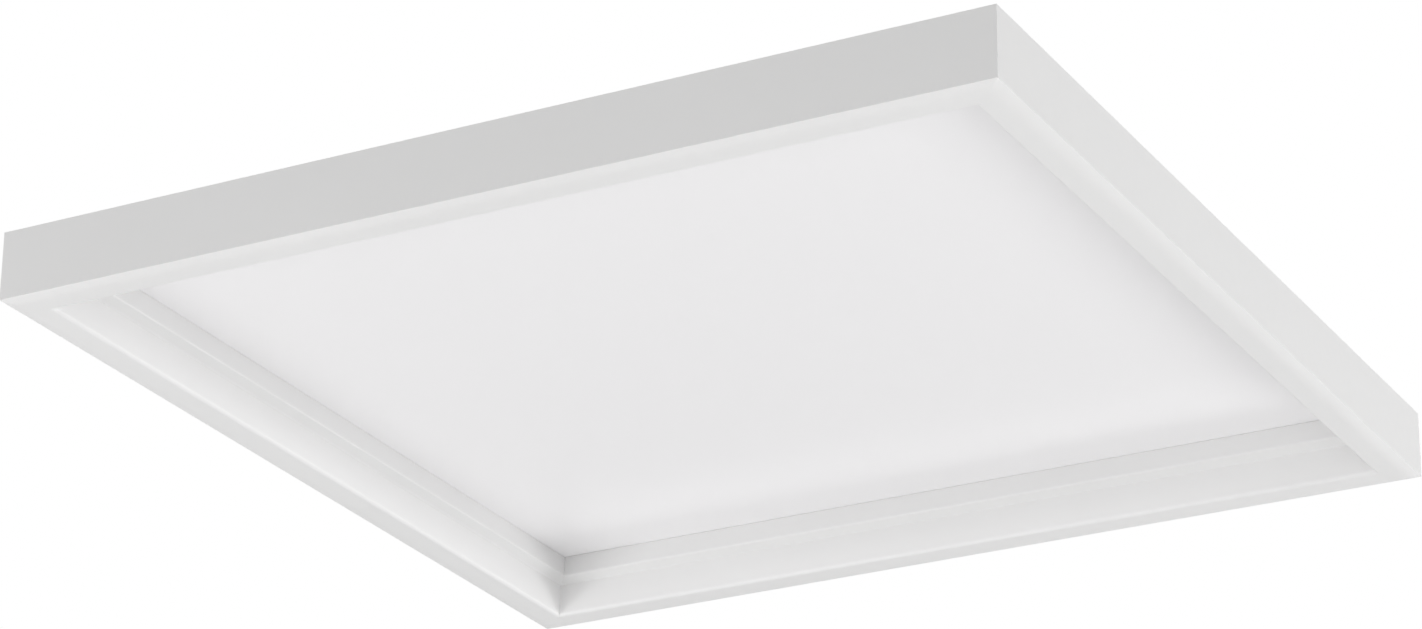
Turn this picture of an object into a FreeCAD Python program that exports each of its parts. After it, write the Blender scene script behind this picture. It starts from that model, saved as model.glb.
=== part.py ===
import FreeCAD, Part
import math
import os

V = FreeCAD.Vector

# Sizes are in millimetres. The origin is on the ceiling plane, at the centre of the square, with +Z up.
# A height is counted upwards from the rim, and an inset inwards from the frame's outer face.

# Frame
side = 610.0
height = 43.0
half = side / 2

# Frame extrusion
outer_wall = 1.8
inner_wall = 1.8
rim_width = 22.0
rim_floor = 1.8
rim_edge_radius = 2.5
pillow_run = 5.0
pillow_rise = 1.7
pillow_radius = 26.0
ledge_height = 21.4
ledge_rise = 3.4
ledge_corner_radius = 0.6
ledge_edge_radius = 1.5
throat_inset = 29.0
seat_height = 38.0
seat_inset = 13.7
seat_thickness = 1.5
seat_edge_radius = 0.8
mitre_depth = 60.0

# Track for the corner keys, inside the rim
track_inset = 7.0
track_wall = 1.2
lip_under = 5.1
lip_top = 6.1
lip_reach = 2.0

# Corner keys
key_clearance = 0.3
key_thickness = 3.0
key_leg = 55.0
key_corner_radius = 0.6
key_screw_radius = 1.95
key_screw_length = 3.6
key_screw_place = 38.0
key_socket_radius = 1.1
key_socket_depth = 1.6

# Optical stack, from the seat upwards
diffuser_thickness = 1.2
guide_thickness = 1.5
film_thickness = 0.2
stack_inset = 22.4
sheet_corner_radius = 1.5

# Back pan
pan_thickness = 0.6
pan_inset = 19.7
pan_foot_inset = 14.2
pan_corner_radius = 3.0
pan_screw_inset = 16.95
pan_screw_places = (-200.0, 0.0, 200.0)
bead_width = 12.0
bead_height = 1.0
bead_start = 120.0
bead_end = 330.0
bead_roundness = 0.48

# Pan screws
pan_shank_radius = 1.45
pan_shank_length = 7.0
pan_head_radius = 2.6
pan_head_height = 1.6

# Light bars
board_thickness = 1.0
board_clearance = 0.3
board_length = 520.0
board_tab = 5.0
led_length = 3.0
led_height = 1.4
led_depth = 0.8
led_pitch = 12.5
led_count = 41

# Leads from the driver to the light bars
lead_width = 2.4
lead_thickness = 0.9
lead_exits = {"right": 27.9, "left": 24.5}
lead_line = 66.0
lead_bend = 20.0
lead_bridges = (90.0, 170.0, 240.0)
bridge_length = 6.0
bridge_gap = 0.1
bridge_leg = 1.0
bridge_top = 0.45
plug_length = 11.0
plug_width = 7.0
plug_height = 1.4

# Driver housing
driver_length = 68.0
driver_width = 40.0
driver_height = 26.0
driver_wall = 1.5
driver_corner_radius = 4.0
driver_top_radius = 1.5
vent_count = 7
vent_pitch = 4.0
vent_start = -4.0
vent_size = (2.0, 18.0)
base_thickness = 1.2
ear_height = 9.0
ear_width = 14.0
inlet_height = 17.0
inlet_radius = 4.5
inlet_bore = 2.6
bushing_lip = 1.4
bushing_flange = 1.5
outlet_width = 9.0
outlet_height = 4.0
outlet_play = 0.1
collar_margin = 0.8
collar_thickness = 1.0

# Fasteners of the driver
stud_place = 24.0
stud_radius = 1.45
stud_height = 5.0
nut_radius = 3.1
nut_height = 2.4
cover_screw_height = 5.85
cover_shank_radius = 1.2
cover_shank_length = 4.5
cover_head_radius = 2.5
cover_head_height = 1.5

# Driver's circuit board and what stands on it
standoff_height = 4.5
standoff_radius = 2.2
standoff_margin = 3.0
circuit_thickness = 1.6
circuit_length = 58.0
circuit_width = 33.0
circuit_corner_radius = 1.5
nut_access_radius = 4.4
core_x = 3.0
core_size = (17.0, 15.0, 12.5)
core_window = (11.0, 6.5)
bobbin_foot = (16.0, 2.5, 1.5)
winding_size = (10.6, 18.0, 6.3)
winding_radius = 2.5
capacitor_sizes = ((-13.0, 9.0, 5.0, 15.0), (-13.0, -8.5, 4.0, 13.0), (19.0, -10.0, 4.0, 12.0))
terminal_x = -24.5
terminal_size = (8.0, 15.0, 9.0)
terminal_radius = 0.8
port_radius = 1.4
port_depth = 5.0
port_pitch = 4.6

# Mounting strap across the junction box
strap_thickness = 1.2
strap_width = 110.0
strap_end_radius = 6.0
strap_opening = (74.0, 46.0, 4.0)
strap_notch = (18.0, 34.0)
strap_notch_radius = 3.0
tongue_end_inset = 8.2
joggle_insets = (15.9, 19.2)
joggle_radius = 1.0
box_slot_spacing = 79.375
box_slot_length = 14.4
box_slot_width = 4.8
slot_roundness = 0.49

# Hanger rails on the ceiling
hanger_inset = 6.5
hanger_reach = 9.0
hanger_depth = 25.0
hanger_length = 460.0
hanger_bend_radius = 1.6
ceiling_hole_inset = 11.5
ceiling_hole_place = 200.0
ceiling_hole_radius = 2.5
hanger_rivet_inset = 11.4
hanger_rivet_places = (-36.0, 36.0)
rivet_radius = 1.6
rivet_head_radius = 2.8
rivet_head_height = 1.0
fit_clearance = 0.05

# Retaining springs
spring_thickness = 0.5
spring_width = 16.0
spring_places = (-170.0, 170.0)
spring_gap = 0.1
spring_top = 40.5
spring_bow_top = 34.0
spring_bow_foot = 19.5
spring_bend_radius = 2.0
spring_crest_radius = 6.0
spring_rivet_radius = 1.2
spring_rivet_head = 2.2
spring_head_height = 0.8
spring_rivet_height = 37.6

# Ground screw
ground_place = (-44.0, 12.0)
ground_hole_radius = 2.2
ground_head_radius = 3.9
ground_head_height = 2.4
ground_slot_width = 1.0
ground_flange_radius = 5.0
ground_flange_thickness = 0.8

# Heights that follow from the sizes above
guide_bottom = seat_height + diffuser_thickness
guide_top = guide_bottom + guide_thickness
pan_underside = guide_top + film_thickness
pan_top = pan_underside + pan_thickness
foot_top = seat_height + pan_thickness
strap_bottom = height - strap_thickness
tongue_bottom = strap_bottom - strap_thickness
board_inset = pan_inset + pan_thickness
driver_floor = pan_top + base_thickness
driver_top = pan_top + driver_height
circuit_bottom = driver_floor + standoff_height
circuit_top = circuit_bottom + circuit_thickness


def level(value):
    """Z of a height above the rim."""
    return value - height


def corner_arc(before, corner, after, radius):
    """Start, middle and end of the arc that rounds a corner."""
    back = (before - corner).normalize()
    ahead = (after - corner).normalize()
    half_angle = back.getAngle(ahead) / 2
    reach = radius / math.tan(half_angle)
    inward = (back + ahead).normalize()
    middle = corner + inward * (radius / math.sin(half_angle) - radius)
    return corner + back * reach, middle, corner + ahead * reach


def path_wire(corners, closed):
    """Wire through corners (x, y), where a third value is the radius that rounds the corner."""
    points = [V(corner[0], corner[1], 0) for corner in corners]
    stops = []
    for index, corner in enumerate(corners):
        if len(corner) < 3:
            stops.append((points[index],))
        else:
            after = points[(index + 1) % len(points)]
            stops.append(corner_arc(points[index - 1], points[index], after, corner[2]))
    edges = []
    for index, stop in enumerate(stops):
        if len(stop) == 3:
            edges.append(Part.Arc(*stop).toShape())
        if closed or index + 1 < len(stops):
            following = stops[(index + 1) % len(stops)]
            edges.append(Part.LineSegment(stop[-1], following[0]).toShape())
    return Part.Wire(edges)


def outline_face(corners):
    return Part.Face(path_wire(corners, True))


def sheet_face(corners, thickness):
    """Section of a bent sheet: one side follows the corners, the other is offset to their right."""
    return path_wire(corners, False).makeOffset2D(thickness, 0, True, True)


def rectangle(length, width, radius, x=0.0, y=0.0):
    """Corners of a rectangle centred on x, y."""
    signs = ((-1, -1), (1, -1), (1, 1), (-1, 1))
    corners = [(x + sx * length / 2, y + sy * width / 2) for sx, sy in signs]
    return [corner + (radius,) for corner in corners] if radius else corners


def hexagon(radius, x, y):
    """Corners of a hexagon in plan."""
    turns = [math.radians(60 * step) for step in range(6)]
    return [(x + radius * math.cos(turn), y + radius * math.sin(turn)) for turn in turns]


def prism(corners, low, high):
    """Upright prism over a plan outline, between two heights above the rim."""
    face = outline_face(corners)
    face.translate(V(0, 0, level(low)))
    return face.extrude(V(0, 0, high - low))


def block(length, width, low, high, x=0.0, y=0.0):
    return Part.makeBox(length, width, high - low, V(x - length / 2, y - width / 2, level(low)))


def rod(radius, low, high, x=0.0, y=0.0):
    return Part.makeCylinder(radius, high - low, V(x, y, level(low)))


def front_bar(section, length, along=0.0):
    """Extrude a section of insets and heights along the front side."""
    bar = section.copy()
    start = V(along - length / 2, -half, -height)
    bar.Placement = FreeCAD.Placement(start, FreeCAD.Rotation(V(1, 1, 1), 120))
    return bar.extrude(V(length, 0, 0))


def front_block(insets, heights, length, along=0.0):
    """Straight bar of rectangular section on the front side."""
    near, far = insets
    low, high = heights
    return front_bar(outline_face([(near, low), (far, low), (far, high), (near, high)]), length, along)


def front_rod(radius, insets, along, middle):
    """Cylinder that runs inwards on the front side, at one height."""
    start = V(along, -half + insets[0], level(middle))
    return Part.makeCylinder(radius, insets[1] - insets[0], start, V(0, 1, 0))


def turned(shape, quarters):
    """Copy of a shape, turned by quarter turns about the vertical axis."""
    copy = shape.copy()
    copy.rotate(V(0, 0, 0), V(0, 0, 1), 90 * quarters)
    return copy


def rail_outline():
    """Insets and heights round the section of the frame extrusion, from the rim's outer edge."""
    wall_back = rim_width - inner_wall
    throat_back = throat_inset - inner_wall
    ledge_top = ledge_height + ledge_rise
    ledge_angle = math.atan2(ledge_rise, throat_inset - rim_width)
    back_step = inner_wall * math.tan(math.pi / 4 - ledge_angle / 2)
    seat_under = seat_height - seat_thickness
    return [
        (0, pillow_rise),
        (pillow_run, 0, pillow_radius),
        (rim_width, 0, rim_edge_radius),
        (rim_width, ledge_height, ledge_corner_radius),
        (throat_inset, ledge_top, ledge_edge_radius),
        (throat_inset, seat_height, seat_edge_radius),
        (seat_inset, seat_height),
        (seat_inset, seat_under),
        (throat_back, seat_under),
        (throat_back, ledge_top + back_step),
        (wall_back, ledge_height + back_step),
        (wall_back, lip_top),
        (wall_back - lip_reach, lip_top),
        (wall_back - lip_reach, lip_under),
        (wall_back, lip_under),
        (wall_back, rim_floor),
        (track_inset, rim_floor),
        (track_inset, lip_under),
        (track_inset + lip_reach, lip_under),
        (track_inset + lip_reach, lip_top),
        (track_inset - track_wall, lip_top),
        (track_inset - track_wall, rim_floor + pillow_rise / 4),
        (outer_wall, rim_floor + pillow_rise),
        (outer_wall, height),
        (0, height),
    ]


def frame_rail():
    """One side of the frame, mitred at both ends and drilled for the pan screws."""
    rail = front_bar(outline_face(rail_outline()), side)
    inner = half - mitre_depth
    mitres = prism([(-half, -half), (half, -half), (inner, -inner), (-inner, -inner)], 0, height)
    rail = rail.common(mitres)
    pilot = pan_shank_radius + fit_clearance
    for along in pan_screw_places:
        rail = rail.cut(rod(pilot, ledge_height, height, along, pan_screw_inset - half))
    return rail


def key_screw_points():
    """Plan places of the two set screws in the front left corner key."""
    middle = (track_inset + rim_width - inner_wall) / 2 - half
    return (key_screw_place - half, middle), (middle, key_screw_place - half)


def corner_key():
    """L-shaped plate that slides into the tracks of two rails, tapped for two set screws."""
    near = track_inset + key_clearance - half
    far = rim_width - inner_wall - key_clearance - half
    tip = key_leg - half
    plan = [(near, near), (tip, near), (tip, far), (far, far, key_corner_radius), (far, tip), (near, tip)]
    key = prism(plan, rim_floor, rim_floor + key_thickness)
    for x, y in key_screw_points():
        key = key.cut(rod(key_screw_radius + fit_clearance, rim_floor, height, x, y))
    return key


def key_screw(x, y):
    """Set screw with a hexagon socket, its tip on the floor of the rim."""
    top = rim_floor + key_screw_length
    socket = prism(hexagon(key_socket_radius, x, y), top - key_socket_depth, top)
    return rod(key_screw_radius, rim_floor, top, x, y).cut(socket)


def key_screws():
    corner = Part.makeCompound([key_screw(x, y) for x, y in key_screw_points()])
    return Part.makeCompound([turned(corner, quarters) for quarters in range(4)])


def stack_sheet(bottom, thickness):
    """Square sheet of the optical stack."""
    width = side - 2 * stack_inset
    return prism(rectangle(width, width, sheet_corner_radius), bottom, bottom + thickness)


def bead(low, high, width):
    """Diagonal bead, drawn in towards its top."""
    plans = []
    for value, draw in ((low, 0), (high, high - low)):
        long = bead_end - bead_start - 2 * draw
        wide = width - 2 * draw
        plan = rectangle(long, wide, wide * bead_roundness, (bead_start + bead_end) / 2)
        wire = path_wire(plan, True)
        wire.translate(V(0, 0, level(value)))
        plans.append(wire)
    solid = Part.makeLoft(plans, True, True)
    solid.rotate(V(0, 0, 0), V(0, 0, 1), 45)
    return solid


def board_tab_place(side_name):
    """Place along the front side that turns onto the lead's line at the left or right side."""
    return lead_line if side_name == "right" else -lead_line


def lead_bridge(x):
    """Lanced bridge on the pan that holds a lead down."""
    inner = lead_width + 2 * bridge_gap
    under = pan_top + lead_thickness + bridge_gap
    solid = block(bridge_length, inner + 2 * bridge_leg, pan_top, under + bridge_top, x, lead_line)
    return solid.cut(block(bridge_length, inner, pan_top, under, x, lead_line))


def back_pan():
    """Pressed steel pan: top, side walls, foot flange, diagonal beads, lead bridges and driver studs."""
    outer = side - 2 * pan_inset
    inner = outer - 2 * pan_thickness
    foot = side - 2 * pan_foot_inset
    pan = prism(rectangle(outer, outer, pan_corner_radius), seat_height, pan_top)
    pan = pan.fuse(prism(rectangle(foot, foot, pan_corner_radius), seat_height, foot_top))
    inner_radius = pan_corner_radius - pan_thickness
    pan = pan.cut(prism(rectangle(inner, inner, inner_radius), seat_height, pan_underside))
    for quarters in range(4):
        raised = bead(pan_underside, pan_top + bead_height, bead_width)
        pan = pan.fuse(turned(raised, quarters))
    for quarters in range(4):
        hollow = bead(pan_underside, pan_underside + bead_height, bead_width - 2 * pan_thickness)
        pan = pan.cut(turned(hollow, quarters))
    for quarters in range(4):
        for along in pan_screw_places:
            hole = rod(pan_shank_radius + fit_clearance, seat_height, foot_top, along, pan_screw_inset - half)
            pan = pan.cut(turned(hole, quarters))
    for name, quarters in (("right", 1), ("left", -1)):
        slot = front_block(
            (board_inset - fit_clearance, board_inset + board_thickness + board_clearance),
            (pan_underside, pan_top),
            board_tab + 2 * board_clearance,
            board_tab_place(name),
        )
        pan = pan.cut(turned(slot, quarters))
    for sign in (-1, 1):
        for x in lead_bridges:
            pan = pan.fuse(lead_bridge(sign * x))
        pan = pan.fuse(rod(stud_radius, pan_top, pan_top + stud_height, sign * stud_place))
    return pan.removeSplitter()


def pan_screw(along):
    """Pan head screw through the foot flange into the frame's seat."""
    y = pan_screw_inset - half
    shank = rod(pan_shank_radius, foot_top - pan_shank_length, foot_top, along, y)
    return rod(pan_head_radius, foot_top, foot_top + pan_head_height, along, y).fuse(shank)


def pan_screws():
    row = Part.makeCompound([pan_screw(along) for along in pan_screw_places])
    return Part.makeCompound([turned(row, quarters) for quarters in range(4)])


def led_board(side_name):
    """Strip board on edge, with a tab that stands up through the pan."""
    insets = (board_inset, board_inset + board_thickness)
    low = seat_height + board_clearance
    strip = front_block(insets, (low, pan_underside - fit_clearance), board_length)
    tab = front_block(insets, (low, pan_top + plug_height / 2), board_tab, board_tab_place(side_name))
    return strip.fuse(tab).removeSplitter()


def led_packages():
    """Row of light sources on the face of the strip board."""
    middle = guide_bottom + guide_thickness / 2
    near = board_inset + board_thickness
    heights = (middle - led_height / 2, middle + led_height / 2)
    places = [(index - (led_count - 1) / 2) * led_pitch for index in range(led_count)]
    row = [front_block((near, near + led_depth), heights, led_length, along) for along in places]
    return Part.makeCompound(row)


def edge_foam():
    """Foam strip that keeps the guide centred in the pan."""
    return front_block((board_inset, stack_inset), (guide_bottom, guide_top), board_length)


def lead(side_name):
    """Flat twin lead on the pan, from the driver's outlet to a light bar."""
    x = lead_exits[side_name]
    sign = 1 if side_name == "right" else -1
    middle = level(pan_top + lead_thickness / 2)
    start = driver_width / 2 + plug_length / 4
    finish = sign * (half - board_inset - plug_length)
    route = path_wire([(x, start), (x, lead_line, lead_bend), (finish, lead_line)], False)
    route.translate(V(0, 0, middle))
    section = path_wire(rectangle(lead_width, lead_thickness, 0), True)
    section.rotate(V(0, 0, 0), V(1, 0, 0), 90)
    section.translate(V(x, start, middle))
    return route.makePipeShell([section], True, True)


def lead_plug(side_name):
    """Nylon housing over the board's tab, where the lead ends."""
    along = board_tab_place(side_name)
    near = board_inset - fit_clearance
    body = front_block((near, board_inset + plug_length), (pan_top, pan_top + plug_height), plug_width, along)
    pocket = front_block(
        (near, board_inset + board_thickness + fit_clearance),
        (pan_top, pan_top + plug_height / 2 + fit_clearance),
        board_tab + 2 * fit_clearance,
        along,
    )
    return body.cut(pocket)


def cover_screw_rod(sx, radius, start, length):
    """Cylinder on the axis of a cover screw, from a distance outside the driver's end inwards."""
    place = V(sx * (driver_length / 2 + start), 0, level(pan_top + cover_screw_height))
    return Part.makeCylinder(radius, length, place, V(-sx, 0, 0))


def driver_base():
    """Steel tray with an upturned ear at each end and four standoffs."""
    length = driver_length - 2 * driver_wall
    width = driver_width - 2 * driver_wall
    ears = block(length, ear_width, pan_top, pan_top + ear_height)
    between = block(length - 2 * base_thickness, ear_width, driver_floor, pan_top + ear_height)
    floor = block(length - 2 * driver_corner_radius, width, pan_top, driver_floor)
    base = ears.cut(between).fuse(floor)
    for sx in (-1, 1):
        base = base.cut(rod(stud_radius + fit_clearance, pan_top, driver_floor, sx * stud_place))
        for sy in (-1, 1):
            x = sx * (circuit_length / 2 - standoff_margin)
            y = sy * (circuit_width / 2 - standoff_margin)
            base = base.fuse(rod(standoff_radius, driver_floor, circuit_bottom, x, y))
        base = base.cut(cover_screw_rod(sx, cover_shank_radius + fit_clearance, 0, 2 * cover_shank_length))
    return base.removeSplitter()


def driver_cover():
    """Moulded cover, open below, with vents on top, an inlet hole and an outlet notch."""
    shell = prism(rectangle(driver_length, driver_width, driver_corner_radius), pan_top, driver_top)
    rim = [edge for edge in shell.Edges if edge.BoundBox.ZMin > level(driver_top) - fit_clearance]
    shell = shell.makeFillet(driver_top_radius, rim)
    inner_length = driver_length - 2 * driver_wall
    inner_width = driver_width - 2 * driver_wall
    inner_radius = driver_corner_radius - driver_wall
    ceiling = driver_top - driver_wall
    shell = shell.cut(prism(rectangle(inner_length, inner_width, inner_radius), pan_top, ceiling))
    for index in range(vent_count):
        vent = rectangle(*vent_size, 0, vent_start + vent_pitch * index)
        shell = shell.cut(prism(vent, ceiling, driver_top))
    inlet_start = V(-driver_length / 2 - driver_wall, 0, inlet_level())
    shell = shell.cut(Part.makeCylinder(inlet_radius, 3 * driver_wall, inlet_start, V(1, 0, 0)))
    outlet_x = (lead_exits["right"] + lead_exits["left"]) / 2
    outlet_top = pan_top + outlet_height
    outlet = block(outlet_width, 3 * driver_wall, pan_top, outlet_top, outlet_x, driver_width / 2)
    shell = shell.cut(outlet)
    for sx in (-1, 1):
        hole = cover_screw_rod(sx, cover_shank_radius + fit_clearance, driver_wall, 3 * driver_wall)
        shell = shell.cut(hole)
    return shell


def inlet_level():
    return level(pan_top + inlet_height)


def revolved(outline, start, direction):
    """Turn an outline of (along, radius) corners about an axis that leaves a start point."""
    solid = outline_face(outline).revolve(V(0, 0, 0), V(1, 0, 0), 360)
    solid.Placement = FreeCAD.Placement(start, FreeCAD.Rotation(V(1, 0, 0), direction))
    return solid


def inlet_bushing():
    """Rubber grommet in the driver's inlet, with a groove for the wall."""
    groove = inlet_radius - fit_clearance
    flange = inlet_radius + bushing_flange
    inner_flange = inlet_radius + bushing_flange * 0.75
    outline = [
        (-bushing_lip, inlet_bore),
        (-bushing_lip, inner_flange),
        (0, flange),
        (0, groove),
        (driver_wall, groove),
        (driver_wall, inner_flange),
        (driver_wall + bushing_lip, inlet_radius + bushing_flange * 0.4),
        (driver_wall + bushing_lip, inlet_bore),
    ]
    return revolved(outline, V(-driver_length / 2, 0, inlet_level()), V(1, 0, 0))


def outlet_plug():
    """Housing in the cover's outlet notch, where both leads start."""
    x = (lead_exits["right"] + lead_exits["left"]) / 2
    wall = driver_width / 2
    face = wall + plug_length / 4
    inner = wall - driver_wall
    top = pan_top + outlet_height
    width = outlet_width - 2 * outlet_play
    body = block(width, face - inner, pan_top, top - outlet_play, x, (face + inner) / 2)
    collar_width = outlet_width + 2 * collar_margin
    collar_y = wall + collar_thickness / 2
    collar = block(collar_width, collar_thickness, pan_top, top + collar_margin, x, collar_y)
    return body.fuse(collar).removeSplitter()


def circuit_board():
    """Board with round openings over the nuts."""
    plan = rectangle(circuit_length, circuit_width, circuit_corner_radius)
    board = prism(plan, circuit_bottom, circuit_top)
    for sx in (-1, 1):
        board = board.cut(rod(nut_access_radius, circuit_bottom, circuit_top, sx * stud_place))
    return board


def transformer():
    """Ferrite core with outer legs, round a wound bobbin with feet on the board."""
    length, width, tall = core_size
    window_length, window_height = core_window
    foot_length, foot_width, foot_height = bobbin_foot
    low = circuit_top + foot_height
    middle = low + tall / 2
    window = (middle - window_height / 2, middle + window_height / 2)
    core = block(length, width, low, low + tall, core_x)
    core = core.cut(block(window_length, width, *window, core_x))
    feet = []
    for sy in (-1, 1):
        y = sy * (width - foot_width) / 2
        feet.append(block(foot_length, foot_width, circuit_top, low, core_x, y))
    plan = rectangle(winding_size[0], winding_size[1], winding_radius, core_x)
    winding = prism(plan, middle - winding_size[2] / 2, middle + winding_size[2] / 2)
    return core.fuse(feet), winding


def capacitors():
    """Upright cans on the board."""
    cans = [rod(radius, circuit_top, circuit_top + tall, x, y) for x, y, radius, tall in capacitor_sizes]
    return Part.makeCompound(cans)


def inlet_terminal():
    """Three-way push-in terminal block on the board, its ports towards the inlet."""
    length, width, tall = terminal_size
    plan = rectangle(length, width, terminal_radius, terminal_x)
    body = prism(plan, circuit_top, circuit_top + tall)
    for step in (-1, 0, 1):
        start = V(terminal_x - length / 2, port_pitch * step, level(circuit_top + tall / 2))
        body = body.cut(Part.makeCylinder(port_radius, port_depth, start, V(1, 0, 0)))
    return body


def driver_nuts():
    """Hexagon nuts that hold the driver's base on the pan's studs."""
    nuts = []
    for sx in (-1, 1):
        x = sx * stud_place
        top = driver_floor + nut_height
        nut = prism(hexagon(nut_radius, x, 0), driver_floor, top)
        nuts.append(nut.cut(rod(stud_radius + fit_clearance, driver_floor, top, x)))
    return Part.makeCompound(nuts)


def driver_screws():
    """Screws through the ends of the cover into the base's ears."""
    screws = []
    for sx in (-1, 1):
        shank = cover_screw_rod(sx, cover_shank_radius, 0, cover_shank_length)
        head = cover_screw_rod(sx, cover_head_radius, cover_head_height, cover_head_height)
        screws.append(shank.fuse(head).removeSplitter())
    return Part.makeCompound(screws)


def rivet_sink(x, y, clearance):
    """Countersink of a hanger rivet, at the ceiling face."""
    foot = V(x, y, level(height - rivet_head_height))
    return Part.makeCone(rivet_radius + clearance, rivet_head_radius + clearance, rivet_head_height, foot)


def rivet_hole(x, y):
    """Hole through tongue and hanger, countersunk at the ceiling face."""
    hole = rod(rivet_radius + fit_clearance, tongue_bottom, height, x, y)
    return hole.fuse(rivet_sink(x, y, fit_clearance))


def mounting_strap():
    """Steel strap over the junction box, joggled down at both ends to pass under the hangers."""
    end = half - tongue_end_inset
    foot, knee = (half - inset for inset in joggle_insets)
    corners = [
        (end, tongue_bottom),
        (foot, tongue_bottom, joggle_radius),
        (knee, strap_bottom, joggle_radius),
        (-knee, strap_bottom, joggle_radius),
        (-foot, tongue_bottom, joggle_radius),
        (-end, tongue_bottom),
    ]
    section = sheet_face(corners, strap_thickness)
    turn = FreeCAD.Rotation(V(1, 0, 0), 90)
    section.Placement = FreeCAD.Placement(V(0, strap_width / 2, -height), turn)
    strap = section.extrude(V(0, -strap_width, 0))
    strap = strap.common(prism(rectangle(2 * end, strap_width, strap_end_radius), tongue_bottom, height))
    notch_length = strap_notch[1] - strap_notch[0]
    notch = rectangle(notch_length, strap_width, strap_notch_radius, sum(strap_notch) / 2, strap_width / 2)
    openings = [rectangle(*strap_opening), notch]
    for sy in (-1, 1):
        radius = box_slot_width * slot_roundness
        openings.append(rectangle(box_slot_width, box_slot_length, radius, 0, sy * box_slot_spacing / 2))
    for opening in openings:
        strap = strap.cut(prism(opening, strap_bottom, height))
    strap = strap.cut(rod(ground_hole_radius + fit_clearance, strap_bottom, height, *ground_place))
    for sx in (-1, 1):
        for along in hanger_rivet_places:
            strap = strap.cut(rivet_hole(sx * (half - hanger_rivet_inset), along))
    return strap.removeSplitter()


def spring_rivet_hole(place):
    return front_rod(spring_rivet_radius + fit_clearance, (0, rim_width), place, spring_rivet_height)


def hanger_rail():
    """Bent steel angle: one leg on the ceiling, the other hanging inside the frame."""
    leg = hanger_inset + strap_thickness
    corners = [
        (hanger_inset + hanger_reach, strap_bottom),
        (leg, strap_bottom, hanger_bend_radius - strap_thickness),
        (leg, height - hanger_depth),
    ]
    rail = front_bar(sheet_face(corners, strap_thickness), hanger_length)
    for along in (-ceiling_hole_place, ceiling_hole_place):
        rail = rail.cut(rod(ceiling_hole_radius, strap_bottom, height, along, ceiling_hole_inset - half))
    for along in hanger_rivet_places:
        rail = rail.cut(rivet_hole(along, hanger_rivet_inset - half))
    for place in spring_places:
        rail = rail.cut(spring_rivet_hole(place))
    return rail


def hanger_rivet(along):
    """Flush rivet, headed under the tongue."""
    y = hanger_rivet_inset - half
    low = tongue_bottom - rivet_head_height
    shank = rod(rivet_radius, low, height, along, y)
    head = rod(rivet_head_radius, low, tongue_bottom, along, y)
    return shank.fuse([rivet_sink(along, y, 0), head]).removeSplitter()


def retaining_spring(place):
    """Bowed leaf that presses on the inside of the frame's outer wall."""
    crest = outer_wall + spring_gap + spring_thickness
    crest_height = (spring_bow_top + spring_bow_foot) / 2
    corners = [
        (hanger_inset, spring_top),
        (hanger_inset, spring_bow_top, spring_bend_radius),
        (crest - spring_crest_sag(), crest_height, spring_crest_radius),
        (hanger_inset, spring_bow_foot),
    ]
    spring = front_bar(sheet_face(corners, spring_thickness), spring_width, place)
    return spring.cut(spring_rivet_hole(place))


def spring_crest_sag():
    """How far the rounded crest falls short of its sharp corner."""
    rise = (spring_bow_top - spring_bow_foot) / 2
    run = hanger_inset - outer_wall - spring_gap - spring_thickness
    sag = 0.0
    for step in range(40):
        half_angle = math.atan2(rise, run + sag)
        sag = spring_crest_radius / math.sin(half_angle) - spring_crest_radius
    return sag


def spring_rivet(place):
    """Rivet through the spring's top and the hanger's hanging leg."""
    outside = hanger_inset - spring_thickness
    inside = hanger_inset + strap_thickness
    outer_head = (outside - spring_head_height, outside)
    inner_head = (inside, inside + spring_head_height)
    rivet = front_rod(spring_rivet_radius, (outer_head[0], inner_head[1]), place, spring_rivet_height)
    for ends in (outer_head, inner_head):
        rivet = rivet.fuse(front_rod(spring_rivet_head, ends, place, spring_rivet_height))
    return rivet.removeSplitter()


def both_sides(shape):
    """The same group on the left and right sides."""
    return Part.makeCompound([turned(shape, -1), turned(shape, 1)])


def hanger_rivets():
    return both_sides(Part.makeCompound([hanger_rivet(along) for along in hanger_rivet_places]))


def spring_rivets():
    return both_sides(Part.makeCompound([spring_rivet(place) for place in spring_places]))


def ground_screw():
    """Hexagon washer head screw on the ceiling face of the strap."""
    x, y = ground_place
    washer_top = height + ground_flange_thickness
    head_top = washer_top + ground_head_height
    shank = rod(ground_hole_radius, strap_bottom, height, x, y)
    washer = rod(ground_flange_radius, height, washer_top, x, y)
    head = prism(hexagon(ground_head_radius, x, y), washer_top, head_top)
    slot_floor = head_top - ground_head_height / 2
    head = head.cut(block(ground_slot_width, 2 * ground_head_radius, slot_floor, head_top, x, y))
    return shank.fuse([washer, head]).removeSplitter()


def frame_parts():
    """Rails and corner keys of the frame."""
    parts = {}
    rail = frame_rail()
    for quarters, name in enumerate(("front", "right", "back", "left")):
        parts["frame_rail_" + name] = turned(rail, quarters)
    key = corner_key()
    for quarters, name in enumerate(("front_left", "front_right", "back_right", "back_left")):
        parts["corner_key_" + name] = turned(key, quarters)
    parts["corner_key_screws"] = key_screws()
    return parts


def panel_parts():
    """Optical stack, back pan and light bars."""
    parts = {
        "diffuser": stack_sheet(seat_height, diffuser_thickness),
        "light_guide": stack_sheet(guide_bottom, guide_thickness),
        "reflector_film": stack_sheet(guide_top, film_thickness),
        "back_pan": back_pan(),
        "pan_screws": pan_screws(),
        "edge_foam_front": edge_foam(),
        "edge_foam_back": turned(edge_foam(), 2),
    }
    for name, quarters in (("right", 1), ("left", -1)):
        parts["led_board_" + name] = turned(led_board(name), quarters)
        parts["led_packages_" + name] = turned(led_packages(), quarters)
        parts["led_plug_" + name] = turned(lead_plug(name), quarters)
        parts["led_lead_" + name] = lead(name)
    return parts


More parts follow.
